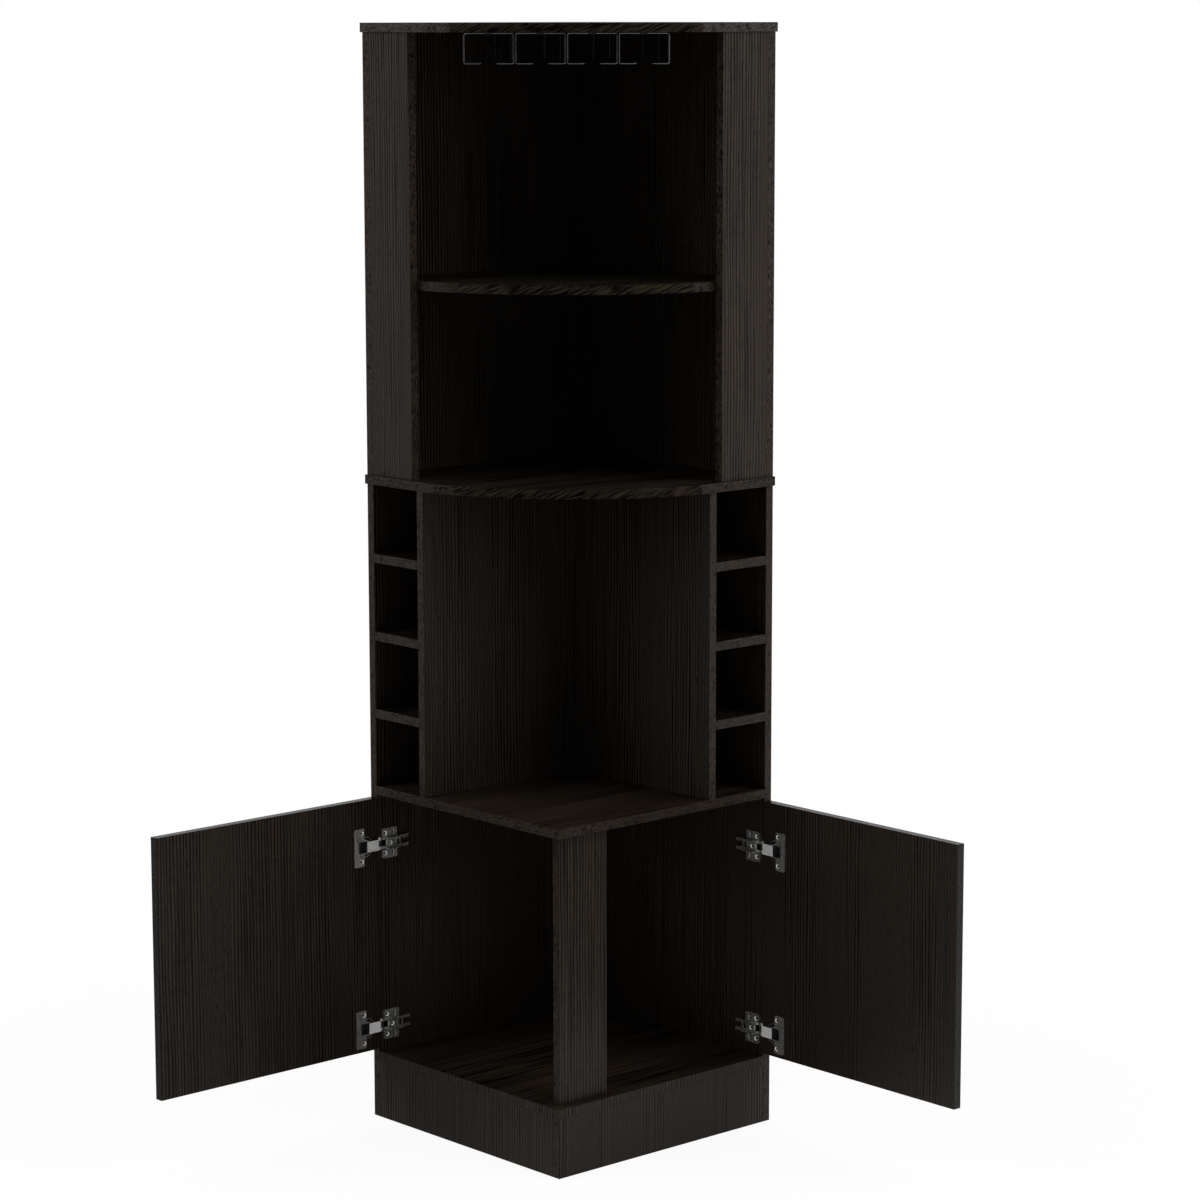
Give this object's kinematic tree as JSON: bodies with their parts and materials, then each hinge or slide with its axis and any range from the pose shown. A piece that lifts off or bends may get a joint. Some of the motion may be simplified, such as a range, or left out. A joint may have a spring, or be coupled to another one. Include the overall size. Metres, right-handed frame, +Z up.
{
  "type": "corner bar cabinet",
  "caption": "Tall corner bar cabinet with inset hinged doors below, bottle cubbies beside an open niche, a curved counter and shelf, and a wire rack for stemmed glasses under the top.",
  "frame": {"origin": "on the floor, at the middle of the square plan of the carcass", "axes": "+Z up; the front corner of the cabinet looks along -Y and the room corner lies along +Y"},
  "size_m": [1.2692, 0.6576, 1.8],
  "materials": {
    "laminate": "satin espresso laminate with fine upright grain",
    "hinge_nickel": "bright nickel plate",
    "screw_steel": "zinc-plated steel",
    "rack_wire": "plated wire",
    "dowel_wood": "plain beech"
  },
  "bodies": {
    "left_door": {"left_door": "laminate", "left_upper_hinge_cup": "hinge_nickel", "left_upper_hinge_door_arm": "hinge_nickel", "left_lower_hinge_cup": "hinge_nickel", "left_lower_hinge_door_arm": "hinge_nickel", "left_cup_screws": "screw_steel"},
    "right_door": {"right_door": "laminate", "right_upper_hinge_cup": "hinge_nickel", "right_upper_hinge_door_arm": "hinge_nickel", "right_lower_hinge_cup": "hinge_nickel", "right_lower_hinge_door_arm": "hinge_nickel", "right_cup_screws": "screw_steel"},
    "cabinet": {"left_lower_wall": "laminate", "right_lower_wall": "laminate", "left_upper_wall": "laminate", "right_upper_wall": "laminate", "top": "laminate", "counter": "laminate", "upper_shelf": "laminate", "left_stile": "laminate", "right_stile": "laminate", "left_cubby_divider": "laminate", "right_cubby_divider": "laminate", "left_cubby_shelf_1": "laminate", "left_cubby_shelf_2": "laminate", "left_cubby_shelf_3": "laminate", "right_cubby_shelf_1": "laminate", "right_cubby_shelf_2": "laminate", "right_cubby_shelf_3": "laminate", "niche_floor": "laminate", "base_floor": "laminate", "corner_post": "laminate", "left_plinth": "laminate", "right_plinth": "laminate", "left_upper_hinge_plate": "hinge_nickel", "left_upper_hinge_wall_arm": "hinge_nickel", "left_lower_hinge_plate": "hinge_nickel", "left_lower_hinge_wall_arm": "hinge_nickel", "right_upper_hinge_plate": "hinge_nickel", "right_upper_hinge_wall_arm": "hinge_nickel", "right_lower_hinge_plate": "hinge_nickel", "right_lower_hinge_wall_arm": "hinge_nickel", "hinge_pins": "hinge_nickel", "hinge_plate_screws": "screw_steel", "hinge_arm_screws": "screw_steel", "rack_screws": "screw_steel", "shelf_pins": "screw_steel", "connecting_screws": "screw_steel", "glass_rack_lane_1": "rack_wire", "glass_rack_lane_2": "rack_wire", "glass_rack_lane_3": "rack_wire", "glass_rack_lane_4": "rack_wire", "rack_clips": "rack_wire", "dowels": "dowel_wood"}
  },
  "joints": [
    {"name": "left_door_swing", "type": "hinge", "parent": "cabinet", "child": "left_door", "pos_m": [-0.31608, -0.00141, 0.33], "axis": [0, 0, 1], "range_deg": [-5, 90]},
    {"name": "right_door_swing", "type": "hinge", "parent": "cabinet", "child": "right_door", "pos_m": [0.31608, -0.00141, 0.33], "axis": [0, 0, -1], "range_deg": [-5, 90]}
  ]
}
